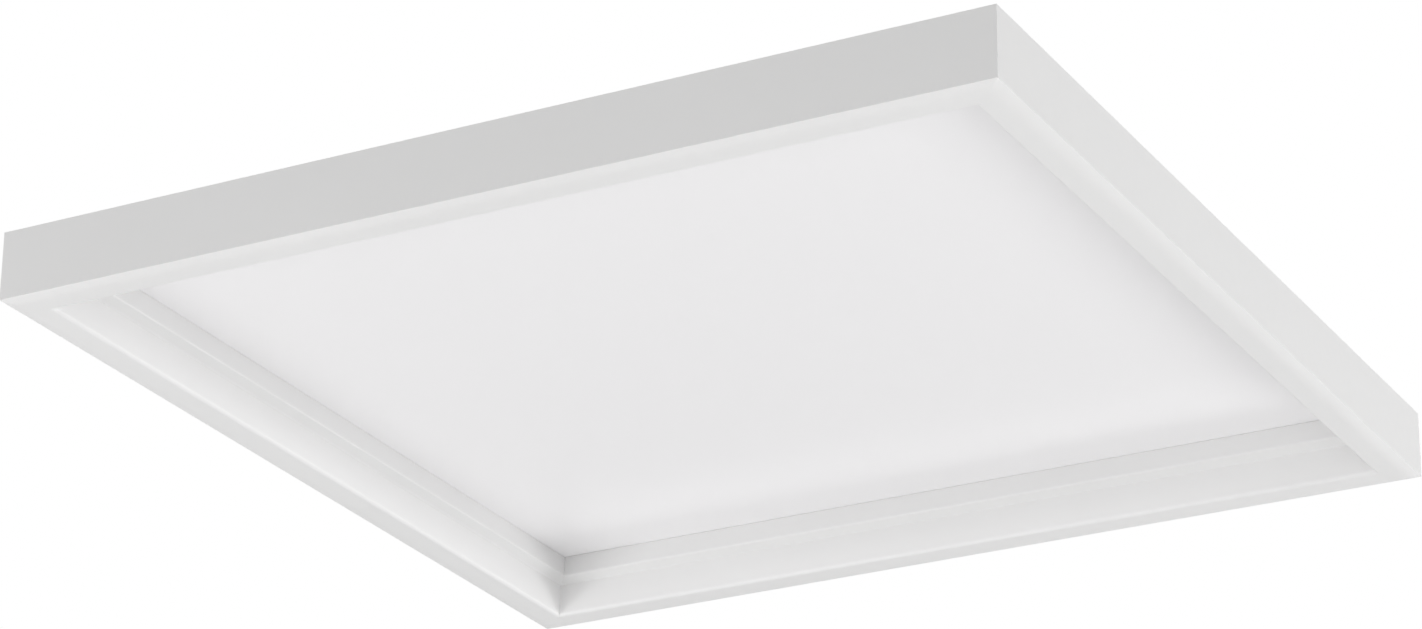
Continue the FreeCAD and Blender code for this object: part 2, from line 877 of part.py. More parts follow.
def driver_parts():
    """Driver: housing, circuit board and fasteners."""
    core, winding = transformer()
    return {
        "driver_base": driver_base(),
        "driver_cover": driver_cover(),
        "driver_board": circuit_board(),
        "transformer_core": core,
        "transformer_winding": winding,
        "capacitors": capacitors(),
        "inlet_terminal": inlet_terminal(),
        "inlet_bushing": inlet_bushing(),
        "outlet_plug": outlet_plug(),
        "driver_nuts": driver_nuts(),
        "driver_screws": driver_screws(),
    }


def bracket_parts():
    """What stays on the ceiling: strap, hangers, springs and their fasteners."""
    parts = {
        "mounting_strap": mounting_strap(),
        "hanger_rivets": hanger_rivets(),
        "spring_rivets": spring_rivets(),
        "ground_screw": ground_screw(),
    }
    for name, quarters, ends in (("right", 1, ("near", "far")), ("left", -1, ("far", "near"))):
        parts["hanger_rail_" + name] = turned(hanger_rail(), quarters)
        for place, end in zip(spring_places, ends):
            parts["retaining_spring_" + name + "_" + end] = turned(retaining_spring(place), quarters)
    return parts


def main():
    os.makedirs("parts", exist_ok=True)
    for group in (frame_parts(), panel_parts(), driver_parts(), bracket_parts()):
        for name, shape in group.items():
            shape.exportStep(os.path.join("parts", name + ".step"))


main()
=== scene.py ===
import math

import bmesh
import bpy
from bpy.props import FloatProperty, FloatVectorProperty, IntProperty, PointerProperty
from mathutils import Matrix, Vector


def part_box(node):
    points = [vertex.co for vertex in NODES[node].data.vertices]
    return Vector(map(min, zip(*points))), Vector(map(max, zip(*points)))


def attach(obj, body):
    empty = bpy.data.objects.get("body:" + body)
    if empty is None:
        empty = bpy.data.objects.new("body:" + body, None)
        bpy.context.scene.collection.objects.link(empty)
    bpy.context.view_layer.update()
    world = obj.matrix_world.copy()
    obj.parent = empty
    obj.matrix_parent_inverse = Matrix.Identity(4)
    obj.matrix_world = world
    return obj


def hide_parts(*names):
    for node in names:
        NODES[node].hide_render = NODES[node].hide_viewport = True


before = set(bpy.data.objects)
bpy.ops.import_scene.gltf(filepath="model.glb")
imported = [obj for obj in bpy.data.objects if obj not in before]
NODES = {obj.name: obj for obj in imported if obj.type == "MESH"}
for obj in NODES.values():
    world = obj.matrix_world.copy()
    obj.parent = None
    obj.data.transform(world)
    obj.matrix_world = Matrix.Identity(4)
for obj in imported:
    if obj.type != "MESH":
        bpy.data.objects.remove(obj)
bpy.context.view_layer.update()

bl_info = {
    "name": "Square flush mount ceiling light",
    "version": (1, 0, 0),
    "blender": (4, 5, 0),
    "location": "View3D > Sidebar > Ceiling Light",
    "description": "Square flush mount ceiling light: frame, fasteners, finishes and studio",
    "category": "Object",
}

MM = 0.001
FRAME_LOW, FRAME_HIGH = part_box("frame_rail_front")
HALF = FRAME_HIGH.x
HEIGHT = -FRAME_LOW.z
BRACKET = "bracket"
LUMINAIRE = "luminaire"

# Roundings up to this radius get few facets
FINE_RADIUS = 0.4 * MM
FINE_STEPS = 2

# Facets round a screw with a wide head, round other turned pieces and round a hexagon
HEAD_STEPS = 28
ROUND_STEPS = 24
HEXAGON_STEPS = 6

# Broken edges of the carried-over nodes and of the opal sheet
PLAIN_EDGE = 0.3 * MM
SHEET_EDGE = 0.1 * MM
OPAL_EDGE = 0.2 * MM
EDGE_SEGMENTS = 2
THINNEST_SHARE = 0.1
SHEET_NODES = ("back_pan", "mounting_strap", "hanger_rail", "driver_base", "retaining_spring")

# Angles in degrees: edges kept crisp, edges that get broken, triangles that count as one flat
CRISP_ANGLE = 32.0
BROKEN_ANGLE = 40.0
FLAT_ANGLE = 0.3


# Settings


def amount(name, value, description, least=0.0, **options):
    """Number that has a least value."""
    return FloatProperty(
        name=name, description=description, default=value, min=least, **options
    )


def whole(name, value, description, least):
    """Whole number that has a least value."""
    return IntProperty(name=name, description=description, default=value, min=least)


def length(name, millimetres, description):
    """Length, given in millimetres and kept in metres."""
    return amount(name, millimetres * MM, description, precision=5, unit="LENGTH")


def watts(name, value, description):
    """Power of a lamp."""
    return amount(name, value, description, unit="POWER")


def color(name, value, description):
    """Linear colour."""
    return FloatVectorProperty(
        name=name, description=description, default=value, size=3, min=0.0, max=1.0, subtype="COLOR"
    )


def vector(name, value, description):
    """Place or direction."""
    return FloatVectorProperty(
        name=name, description=description, default=value, size=3, subtype="XYZ"
    )


class RailSettings(bpy.types.PropertyGroup):
    """Section of the frame extrusion, inwards from the outer face and up from the rim."""

    outer_wall: length("Outer wall", 1.8, "Thickness of the outer wall")
    inner_wall: length("Inner wall", 1.8, "Thickness of the recess walls and the ledge")
    rim_width: length("Rim width", 22.0, "Outer face to the recess wall at the rim")
    rim_floor: length("Rim thickness", 1.8, "Thickness of the rim")
    rim_edge: length("Rim edge radius", 2.5, "Rounding of the rim's inner edge")
    outer_edge: length("Outer edge radius", 0.3, "Rounding of the rim's outer edge")
    pillow_run: length("Pillow run", 5.0, "How far in the rim starts to fall away")
    pillow_rise: length("Pillow rise", 1.7, "How far the rim falls away at its outer edge")
    pillow_radius: length("Pillow radius", 26.0, "Rounding between the rim's flat and its fall")
    ledge_height: length("Ledge height", 21.4, "Rim to the ledge's outer edge")
    ledge_rise: length("Ledge rise", 3.4, "How far the ledge slopes up towards the throat")
    ledge_corner: length("Ledge corner radius", 0.6, "Fillet between the recess wall and the ledge")
    ledge_edge: length("Ledge edge radius", 1.5, "Rounding of the ledge's inner edge")
    throat: length("Throat inset", 29.0, "Outer face to the throat wall")
    seat_edge: length("Seat edge radius", 0.5, "Rounding under the diffuser")
    seat_inset: length("Seat inset", 13.7, "Outer face to the back edge of the seat flange")
    seat_thickness: length("Seat thickness", 1.5, "Thickness of the seat flange")
    track_inset: length("Track inset", 7.0, "Outer face to the corner key's track")
    track_wall: length("Track wall", 1.2, "Thickness of the track's rib")
    lip_under: length("Lip underside", 5.1, "Rim to the underside of the track's lips")
    lip_top: length("Lip top", 6.1, "Rim to the top of the track's lips")
    lip_reach: length("Lip reach", 2.0, "How far the track's lips stand out")
    broken_edge: length("Broken edge", 0.15, "Rounding of the extrusion's other edges")
    arc_steps: whole("Arc steps", 8, "Facets on each rounded edge", least=2)


class FastenerSettings(bpy.types.PropertyGroup):
    """Screws and rivets."""

    pan_head: length("Pan screw head radius", 2.6, "Radius of the head")
    pan_rise: length("Pan screw head height", 1.6, "Height of the head")
    pan_shank: length("Pan screw shank radius", 1.45, "Radius of the shank")
    pan_inset: length("Pan screw inset", 16.95, "Outer face to the pan screws")
    pan_pitch: length("Pan screw pitch", 200.0, "Distance between the three screws on a side")
    recess: length("Cross recess", 3.4, "Length of the cross recess")
    key_radius: length("Set screw radius", 1.95, "Radius of the corner keys' set screws")
    key_socket: length("Set screw socket", 1.1, "Radius of the hexagon socket")
    key_reach: length("Set screw socket depth", 1.6, "Depth of the hexagon socket")
    key_thread: length("Set screw thread pitch", 0.5, "Distance between the thread's crests")
    key_place: length("Set screw place", 38.0, "Outer face to the set screws along the rail")
    key_inset: length("Set screw inset", 13.6, "Outer face to the set screws across the rail")
    rivet_inset: length("Hanger rivet inset", 11.4, "Outer face to the hanger rivets")
    rivet_pitch: length("Hanger rivet pitch", 72.0, "Distance between two rivets at a strap's end")
    rivet_radius: length("Hanger rivet radius", 1.6, "Radius of the shank")
    rivet_head: length("Hanger rivet head", 2.8, "Radius of both heads")
    rivet_rise: length("Hanger rivet head height", 1.0, "Height of each head")
    spring_place: length("Spring place", 170.0, "Middle of the side to each spring")
    spring_grip: length("Spring rivet length", 3.3, "Spring rivet from head to head")
    spring_rise: length("Spring rivet head height", 0.8, "Height of each head")
    cover_rise: length("Cover screw head height", 1.5, "Height of the cover screws' heads")
    cover_shank: length("Cover screw shank radius", 1.2, "Radius of the cover screws' shanks")
    cover_grip: length("Cover screw shank length", 4.5, "Length of the cover screws' shanks")
    stud_place: length("Stud place", 24.0, "Middle of the pan to each of the driver's studs")
    stud_bore: length("Nut bore", 1.5, "Radius of the bore in the stud nuts")
    nut_chamfer: length("Nut chamfer", 0.35, "Height of the chamfers on the stud nuts")


class LightBarSettings(bpy.types.PropertyGroup):
    """Light sources on the strip boards, and the leads that feed them."""

    count: whole("Sources", 41, "Light sources on each board", least=1)
    pitch: length("Pitch", 12.5, "Distance between light sources")
    package: length("Package length", 3.0, "Length of a light source")
    window: length("Window margin", 0.3, "Package edge to the phosphor window")
    dish: length("Window depth", 0.15, "How deep the phosphor window lies")
    pane: length("Window thickness", 0.1, "Thickness of the phosphor window")
    lead_width: length("Lead width", 2.4, "Width of the flat twin lead")
    lead_line: length("Lead line", 66.0, "Middle of the pan to the leads' long run")
    lead_bend: length("Lead bend", 20.0, "Radius of the leads' bend")
    groove_width: length("Groove width", 0.36, "Width of the grooves between the cores")
    groove_depth: length("Groove depth", 0.225, "Depth of the grooves between the cores")
    bend_steps: whole("Bend steps", 12, "Facets along the bend and round each edge", least=4)


class FinishSettings(bpy.types.PropertyGroup):
    """Colours of the finishes."""

    paint: color("Paint", (0.80, 0.797, 0.795), "White powder coat of the frame")
    opal: color("Opal", (0.885, 0.872, 0.878), "Opal acrylic of the diffuser")
    pan: color("Pan", (0.66, 0.66, 0.645), "Pre-painted sheet of the back pan")
    zinc: color("Zinc", (0.56, 0.57, 0.59), "Zinc plate of the bracket and the fasteners")
    spring: color("Spring", (0.30, 0.32, 0.36), "Blued spring strip")
    cover: color("Cover", (0.86, 0.86, 0.85), "Moulded driver cover")
    floor: color("Floor", (0.90, 0.90, 0.90), "Studio floor")


class StageSettings(bpy.types.PropertyGroup):
    """Camera and studio light."""

    focal_length: amount(
        "Focal length", 116.96, "Lens for a 36 mm wide sensor", least=1.0, unit="CAMERA"
    )
    eye: vector("Eye", (1.1572, -2.1904, -1.0669), "Camera's place")
    forward: vector("Forward", (-0.43431, 0.80809, 0.39795), "Direction of the view")
    right: vector("Right", (0.88244, 0.47035, 0.00794), "The picture's right")
    ambient: amount("Ambient", 0.24, "Level of the light from all round")
    key: watts("Key", 28.6, "Lamp low behind the right corner")
    left: watts("Left", 8.7, "Lamp deep at the front left")
    left_low: watts("Left low", 22.8, "Lamp low at the front left")
    front: watts("Front", 6.2, "Lamp deep at the front right")
    front_low: watts("Front low", 9.0, "Lamp low at the front right")
    right_edge: watts("Right edge", 19.0, "Strip lamp level with the frame, on the right")
    front_edge: watts("Front edge", 7.6, "Strip lamp level with the frame, in front")
    above: watts("Above", 13.0, "Lamp over the back of the light")
    overhead: amount("Overhead", 0.54, "Even light straight down, in watts per square metre")
    overhead_spread: amount(
        "Overhead spread", math.radians(40), "Angle that the even light fills", subtype="ANGLE"
    )
    floor_depth: amount("Floor depth", 2.4, "Ceiling to floor", least=0.5, unit="LENGTH")
    floor_reach: amount("Floor reach", 14.0, "Middle to the edges", least=1.0, unit="LENGTH")


GROUPS = {
    "rails": RailSettings,
    "fasteners": FastenerSettings,
    "bars": LightBarSettings,
    "finishes": FinishSettings,
    "stage": StageSettings,
}


def settings(group):
    """Settings of the scene, by the name of their group."""
    return getattr(bpy.context.scene, "light_" + group)


# Nodes and materials


def add(tree, kind, inputs=None, **options):
    """New node with its options, its constant inputs and its linked inputs."""
    node = tree.nodes.new(kind)
    for key, value in options.items():
        setattr(node, key, value)
    for socket, value in (inputs or {}).items():
        if isinstance(value, bpy.types.NodeSocket):
            tree.links.new(value, node.inputs[socket])
        else:
            node.inputs[socket].default_value = value
    return node


def new_material(name, base, roughness, metallic=0.0, **sockets):
    """Principled material, with its constant values on the shader's own sockets."""
    material = bpy.data.materials.new(name)
    material.use_nodes = True
    shader = material.node_tree.nodes["Principled BSDF"]
    shader.inputs["Base Color"].default_value = (*base, 1.0)
    shader.inputs["Roughness"].default_value = roughness
    shader.inputs["Metallic"].default_value = metallic
    for socket, value in sockets.items():
        shader.inputs[socket.replace("_", " ")].default_value = value
    return material


def place(material, stretch=(1.0, 1.0, 1.0)):
    """Object coordinates, stretched along the axes."""
    tree = material.node_tree
    coordinates = add(tree, "ShaderNodeTexCoord").outputs["Object"]
    inputs = {"Vector": coordinates, "Scale": stretch}
    return add(tree, "ShaderNodeMapping", inputs).outputs["Vector"]


def noise(material, scale, detail=2.0, stretch=(1.0, 1.0, 1.0)):
    """Noise, drawn out along the axes that the stretch makes small."""
    inputs = {"Vector": place(material, stretch), "Scale": scale, "Detail": detail}
    return add(material.node_tree, "ShaderNodeTexNoise", inputs).outputs["Fac"]


def cell_pattern(material, scale, randomness=1.0, feature="F1"):
    """Distances in a field of cells."""
    inputs = {"Vector": place(material), "Scale": scale, "Randomness": randomness}
    cells = add(material.node_tree, "ShaderNodeTexVoronoi", inputs, feature=feature)
    return cells.outputs["Distance"]


def spread(material, value, low, high, start=0.3, end=0.7):
    """A pattern's value, spread between two numbers. Noise mostly lies from start to end."""
    inputs = {"Value": value, "From Min": start, "From Max": end, "To Min": low, "To Max": high}
    return add(material.node_tree, "ShaderNodeMapRange", inputs).outputs["Result"]


def bump(material, pattern, depth, under=None):
    """Normals of a relief, with its depth in millimetres, on top of another if there is one."""
    inputs = {"Height": pattern, "Distance": depth * MM}
    if under is not None:
        inputs["Normal"] = under
    return add(material.node_tree, "ShaderNodeBump", inputs).outputs["Normal"]


def feed(material, socket, value):
    """Link a value to the shader."""
    shader = material.node_tree.nodes["Principled BSDF"]
    material.node_tree.links.new(value, shader.inputs[socket])


# Sockets of a Mix node that mixes colours
MIX_FACTOR, MIX_FIRST, MIX_SECOND, MIX_RESULT = 0, 6, 7, 2


def tint(material, mask, first, second):
    """Base colour from one colour to another, by a mask."""
    inputs = {MIX_FACTOR: mask, MIX_FIRST: (*first, 1.0), MIX_SECOND: (*second, 1.0)}
    mix = add(material.node_tree, "ShaderNodeMix", inputs, data_type="RGBA")
    feed(material, "Base Color", mix.outputs[MIX_RESULT])


def shade(value, factor):
    """A colour made darker or lighter by a factor."""
    return tuple(min(1.0, channel * factor) for channel in value)


def cloud(material, base, factor, scale, detail):
    """Base colour that goes darker by a factor in slow patches."""
    mask = spread(material, noise(material, scale, detail), 0.0, 1.0)
    tint(material, mask, shade(base, factor), base)


def roughen(material, pattern, low, high):
    """Roughness that follows a pattern."""
    feed(material, "Roughness", spread(material, pattern, low, high))


def relief(material, pattern, depth, under=None):
    """Relief of a pattern, its depth in millimetres."""
    feed(material, "Normal", bump(material, pattern, depth, under))


def powder_coat():
    """Satin white powder coat: a fine orange peel over a faint slow wave."""
    base = tuple(settings("finishes").paint)
    material = new_material("powder_coat", base, 0.42)
    cloud(material, base, 0.985, scale=9.0, detail=3.0)
    roughen(material, noise(material, 160.0, 3.0), 0.38, 0.48)
    wave = bump(material, noise(material, 130.0, 1.0), 0.04)
    relief(material, noise(material, 1100.0), 0.035, under=wave)


def opal_acrylic():
    """Opal sheet with a satin face that scatters a little."""
    base = tuple(settings("finishes").opal)
    material = new_material(
        "opal_acrylic",
        base,
        0.36,
        Subsurface_Weight=0.25,
        Subsurface_Scale=4.0 * MM,
        Subsurface_Radius=(1.0, 1.0, 1.0),
    )
    cloud(material, base, 0.992, scale=5.0, detail=2.0)
    roughen(material, noise(material, 240.0), 0.33, 0.40)
    relief(material, noise(material, 1800.0), 0.012)


def coil_coat():
    """Pre-painted sheet: off-white, with a leathery grain over faint rolling lines."""
    base = tuple(settings("finishes").pan)
    material = new_material("coil_coat", base, 0.5)
    cloud(material, base, 0.965, scale=22.0, detail=3.0)
    grain = noise(material, 700.0)
    roughen(material, grain, 0.44, 0.58)
    rolled = bump(material, noise(material, 400.0, 3.0, stretch=(0.04, 1.0, 1.0)), 0.008)
    relief(material, grain, 0.02, under=rolled)


def bright_zinc(name, base, rough, stretch=(1.0, 1.0, 1.0)):
    """Zinc plate with fine drawn lines, brighter and duller in slow patches."""
    material = new_material(name, base, rough, metallic=1.0)
    cloud(material, base, 0.88, scale=45.0, detail=3.0)
    lines = noise(material, 700.0, stretch=stretch)
    roughen(material, lines, rough - 0.07, rough + 0.10)
    relief(material, lines, 0.012)


def moulded(name, base, rough, grain=900.0, depth=0.03, **sockets):
    """Moulded plastic with a spark-eroded texture, its depth in millimetres."""
    material = new_material(name, base, rough, **sockets)
    cloud(material, base, 0.96, scale=30.0, detail=2.0)
    roughen(material, noise(material, grain * 0.3), rough - 0.05, rough + 0.06)
    relief(material, noise(material, grain), depth)


def clear_acrylic():
    """Clear light guide with its field of fine print dots."""
    clear, printed = (0.93, 0.96, 0.96), (0.97, 0.97, 0.97)
    material = new_material("clear_acrylic", clear, 0.08, IOR=1.49, Transmission_Weight=0.85)
    dots = cell_pattern(material, 420.0, randomness=0.0)
    mask = spread(material, dots, 1.0, 0.0, start=0.22, end=0.30)
    feed(material, "Roughness", spread(material, mask, 0.08, 0.75, start=0.0, end=1.0))
    tint(material, mask, clear, printed)


def circuit_laminate(name, mask_color, track_color):
    """Solder mask over copper tracks."""
    material = new_material(name, mask_color, 0.35, Coat_Weight=0.3, Coat_Roughness=0.15)
    borders = cell_pattern(material, 230.0, randomness=0.65, feature="DISTANCE_TO_EDGE")
    tracks = spread(material, borders, 1.0, 0.0, start=0.10, end=0.14)
    tint(material, tracks, mask_color, track_color)
    relief(material, tracks, 0.04)


def banded(name, base, band, pitch, share, rough):
    """Finish with bands across Z, as on wound tape or a printed sleeve."""
    material = new_material(name, base, rough)
    # The node's bands are 2 pi / 20 apart at a scale of 1
    wave_inputs = {
        "Vector": place(material), "Scale": math.pi / (10.0 * pitch * MM), "Distortion": 0.3
    }
    wave = add(material.node_tree, "ShaderNodeTexWave", wave_inputs, bands_direction="Z")
    crest = wave.outputs["Fac"]
    tint(material, spread(material, crest, 0.0, 1.0, 1.0 - share, 1.06 - share), base, band)
    roughen(material, noise(material, 300.0), rough - 0.05, rough + 0.05)
    relief(material, crest, 0.03)


def white_film():
    """White reflector film with a pearly grain."""
    material = new_material("white_film", (0.94, 0.94, 0.94), 0.3)
    roughen(material, noise(material, 90.0, 3.0), 0.25, 0.38)
    relief(material, noise(material, 250.0), 0.01)


def foam():
    """Closed-cell foam."""
    material = new_material("foam", (0.05, 0.05, 0.052), 0.9)
    cells = cell_pattern(material, 1600.0)
    relief(material, cells, 0.15)
    tone = spread(material, cells, 0.0, 1.0, start=0.0, end=0.8)
    tint(material, tone, (0.03, 0.03, 0.03), (0.09, 0.09, 0.095))


def phosphor():
    """Phosphor window in a light source."""
    material = new_material("phosphor", (0.92, 0.78, 0.22), 0.25, Coat_Weight=0.5)
    grain = spread(material, noise(material, 4000.0), 0.0, 1.0)
    tint(material, grain, (0.86, 0.70, 0.16), (0.95, 0.83, 0.30))


def build_materials():
    """Every finish of the light."""
    colors = settings("finishes")
    zinc = tuple(colors.zinc)
    powder_coat()
    opal_acrylic()
    coil_coat()
    bright_zinc("zinc_plate", zinc, 0.34, stretch=(1.0, 0.05, 1.0))
    bright_zinc("zinc_fastener", shade(zinc, 1.02), 0.28)
    bright_zinc("rivet_steel", shade(zinc, 0.9), 0.32)
    bright_zinc("spring_steel", tuple(colors.spring), 0.30, stretch=(0.05, 1.0, 1.0))
    bright_zinc("green_zinc", (0.05, 0.33, 0.12), 0.35)
    moulded("driver_plastic", tuple(colors.cover), 0.48)
    moulded("white_nylon", (0.84, 0.82, 0.76), 0.42, 1400.0, 0.02, Subsurface_Weight=0.1)
    moulded("package_white", (0.88, 0.88, 0.86), 0.4, 3000.0, 0.01)
    moulded("lead_jacket", (0.82, 0.81, 0.79), 0.45, 2200.0, 0.015)
    moulded("black_rubber", (0.025, 0.025, 0.026), 0.7, 1500.0, 0.04)
    moulded("ferrite", (0.035, 0.034, 0.036), 0.6, 1200.0, 0.06)
    clear_acrylic()
    white_film()
    foam()
    phosphor()
    circuit_laminate("board_white", (0.88, 0.88, 0.86), (0.93, 0.92, 0.88))
    circuit_laminate("board_green", (0.02, 0.16, 0.06), (0.05, 0.27, 0.10))
    banded("winding_tape", (0.82, 0.60, 0.06), (0.70, 0.48, 0.03), 1.2, share=0.25, rough=0.3)
    banded("capacitor_sleeve", (0.02, 0.03, 0.07), (0.035, 0.05, 0.11), 6.0, share=0.3, rough=0.25)


# Starts of the names of the CAD nodes that have each finish
FINISHES = {
    "powder_coat": ("frame_rail",),
    "zinc_fastener": ("corner_key_screws", "pan_screws", "driver_nuts", "driver_screws"),
    "zinc_plate": ("corner_key", "hanger_rail_", "driver_base", "mounting_strap"),
    "rivet_steel": ("hanger_rivets", "spring_rivets"),
    "spring_steel": ("retaining_spring",),
    "green_zinc": ("ground_screw",),
    "opal_acrylic": ("diffuser",),
    "clear_acrylic": ("light_guide",),
    "white_film": ("reflector_film",),
    "coil_coat": ("back_pan",),
    "foam": ("edge_foam",),
    "phosphor": ("led_packages",),
    "lead_jacket": ("led_lead",),
    "white_nylon": ("led_plug", "inlet_terminal", "outlet_plug"),
    "black_rubber": ("inlet_bushing",),
    "driver_plastic": ("driver_cover",),
    "board_white": ("led_board",),
    "board_green": ("driver_board",),
    "ferrite": ("transformer_core",),
    "winding_tape": ("transformer_winding",),
    "capacitor_sleeve": ("capacitors",),
}


def finish_of(node):
    """First finish that fits a CAD node's name."""
    for finish, starts in FINISHES.items():
        if node.startswith(starts):
            return finish
    raise ValueError("no finish for " + node)


def broken_edge(node):
    """Rounding of a node's edges, small beside its gauge or its thinnest side."""
    low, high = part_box(node)
    most = SHEET_EDGE if node.startswith(SHEET_NODES) else PLAIN_EDGE
    return min(most, THINNEST_SHARE * min(high - low))


# Meshes and pieces


def new_object(name, data):
    """Object in the scene."""
    made = bpy.data.objects.new(name, data)
    bpy.context.scene.collection.objects.link(made)
    return made


def modify(piece, name, kind, **options):
    """New modifier with its options."""
    modifier = piece.modifiers.new(name, kind)
    for key, value in options.items():
        setattr(modifier, key, value)
    return modifier


def keep_flats(piece):
    """Weighted normals keep wide flats even beside small rounded edges."""
    modify(piece, "Even flats", "WEIGHTED_NORMAL", keep_sharp=True, weight=100)


def smooth(mesh):
    """Smooth faces, with sharper edges kept crisp."""
    mesh.shade_smooth()
    mesh.set_sharp_from_angle(angle=math.radians(CRISP_ANGLE))


def new_mesh(name, shape):
    """Mesh of a closed shape, with its faces turned outwards."""
    bmesh.ops.recalc_face_normals(shape, faces=shape.faces)
    mesh = bpy.data.meshes.new(name)
    shape.to_mesh(mesh)
    shape.free()
    return mesh


def evaluated_mesh(piece):
    """Plain mesh of an object as its modifiers leave it."""
    bpy.context.view_layer.update()
    graph = bpy.context.evaluated_depsgraph_get()
    return bpy.data.meshes.new_from_object(piece.evaluated_get(graph))


def finished(name, mesh, finish, slot, *nodes, body=LUMINAIRE):
    """Object at the origin that rides on a body and stands for CAD nodes."""
    piece = new_object(name, mesh)
    mesh.materials.clear()
    mesh.materials.append(bpy.data.materials[finish])
    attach(piece, body)
    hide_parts(*nodes)
    return piece


def arc_points(before, corner, after, radius, steps):
    """Points of the arc that rounds a corner of an outline."""
    back = (before - corner).normalized()
    ahead = (after - corner).normalized()
    half_angle = back.angle(ahead) / 2
    centre = corner + (back + ahead).normalized() * (radius / math.sin(half_angle))
    start = corner + back * (radius / math.tan(half_angle)) - centre
    end = corner + ahead * (radius / math.tan(half_angle)) - centre
    turn = math.atan2(start.x * end.y - start.y * end.x, start.dot(end))
    points = []
    for step in range(steps + 1):
        cosine, sine = math.cos(turn * step / steps), math.sin(turn * step / steps)
        spoke = Vector((start.x * cosine - start.y * sine, start.x * sine + start.y * cosine))
        points.append(centre + spoke)
    return points


def rounded(corners, steps):
    """Outline through corners (x, y, radius)."""
    points = []
    for index, (x, y, radius) in enumerate(corners):
        corner = Vector((x, y))
        if radius <= 0:
            points.append(corner)
            continue
        before = Vector(corners[index - 1][:2])
        after = Vector(corners[(index + 1) % len(corners)][:2])
        arc_steps = steps if radius > FINE_RADIUS else FINE_STEPS
        points.extend(arc_points(before, corner, after, radius, arc_steps))
    return points


def rail_outline():
    """Insets, heights above the rim and roundings, round the section of the extrusion."""
    r = settings("rails")
    wall_back = r.rim_width - r.inner_wall
    throat_back = r.throat - r.inner_wall
    ledge_top = r.ledge_height + r.ledge_rise
    ledge_angle = math.atan2(r.ledge_rise, r.throat - r.rim_width)
    back_step = r.inner_wall * math.tan(math.pi / 4 - ledge_angle / 2)
    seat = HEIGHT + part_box("diffuser")[0].z
    seat_under = seat - r.seat_thickness
    rib = r.track_inset - r.track_wall
    rib_foot = r.rim_floor + r.pillow_rise / 4
    tip = r.track_inset + r.lip_reach
    back_tip = wall_back - r.lip_reach
    edge = r.broken_edge
    return [
        (0.0, r.pillow_rise, r.outer_edge),
        (r.pillow_run, 0.0, r.pillow_radius),
        (r.rim_width, 0.0, r.rim_edge),
        (r.rim_width, r.ledge_height, r.ledge_corner),
        (r.throat, ledge_top, r.ledge_edge),
        (r.throat, seat, r.seat_edge),
        (r.seat_inset, seat, edge),
        (r.seat_inset, seat_under, edge),
        (throat_back, seat_under, edge),
        (throat_back, ledge_top + back_step, edge),
        (wall_back, r.ledge_height + back_step, edge),
        (wall_back, r.lip_top, edge),
        (back_tip, r.lip_top, edge),
        (back_tip, r.lip_under, edge),
        (wall_back, r.lip_under, edge),
        (wall_back, r.rim_floor, edge),
        (r.track_inset, r.rim_floor, edge),
        (r.track_inset, r.lip_under, edge),
        (tip, r.lip_under, edge),
        (tip, r.lip_top, edge),
        (rib, r.lip_top, edge),
        (rib, rib_foot, edge),
        (r.outer_wall, r.rim_floor + r.pillow_rise, edge),
        (r.outer_wall, HEIGHT, edge),
        (0.0, HEIGHT, edge),
    ]


def bridge_rings(shape, rings):
    """Faces from each ring of vertices to the next."""
    for low, high in zip(rings, rings[1:]):
        for step in range(len(low)):
            after = (step + 1) % len(low)
            shape.faces.new((low[step], low[after], high[after], high[step]))


def rail_mesh(name, outline, quarters):
    """Mitred bar of the section along one side, turned by quarter turns."""
    turn = Matrix.Rotation(math.radians(90 * quarters), 4, "Z")
    shape = bmesh.new()
    ends = [
        [
            shape.verts.new(turn @ Vector((sign * (HALF - inset), inset - HALF, up - HEIGHT)))
            for inset, up in outline
        ]
        for sign in (-1, 1)
    ]
    bridge_rings(shape, ends)
    for end in ends:
        shape.faces.new(end)
    mesh = new_mesh(name, shape)
    smooth(mesh)
    return mesh


def lathe(name, profile, steps, centre=(0.0, 0.0, 0.0), along_y=False):
    """Turned mesh from (radius, along) points that start and end on the axis."""
    shape = bmesh.new()
    tips = [shape.verts.new((0.0, 0.0, along)) for radius, along in (profile[0], profile[-1])]
    turns = [math.tau * step / steps for step in range(steps)]
    rings = [
        [shape.verts.new((radius * math.cos(a), radius * math.sin(a), along)) for a in turns]
        for radius, along in profile[1:-1]
    ]
    bridge_rings(shape, rings)
    for tip, ring in zip(tips, (rings[0], rings[-1])):
        for step in range(steps):
            shape.faces.new((tip, ring[step], ring[(step + 1) % steps]))
    tilt = Matrix.Rotation(math.radians(-90 if along_y else 0), 4, "X")
    shape.transform(Matrix.Translation(centre) @ tilt)
    return new_mesh(name, shape)


def slab(name, size, centre, taper=0.0):
    """Box that narrows towards its foot."""
    shape = bmesh.new()
    bmesh.ops.create_cube(shape, size=1.0)
    for vert in shape.verts:
        draw = taper if vert.co.z < 0 else 0.0
        vert.co.x *= size[0] - draw
        vert.co.y *= size[1] - draw
        vert.co.z *= size[2]
    bmesh.ops.translate(shape, verts=shape.verts, vec=centre)
    return new_mesh(name, shape)


def carved(mesh, cutters):
    """The mesh with other closed meshes cut out of it."""
    solid = new_object("solid", mesh)
    tools = [new_object("cutter", cutter) for cutter in cutters]
    for tool in tools:
        modify(solid, "Cut", "BOOLEAN", operation="DIFFERENCE", solver="EXACT", object=tool)
    result = evaluated_mesh(solid)
    for spare in (solid, *tools):
        bpy.data.objects.remove(spare)
    return result


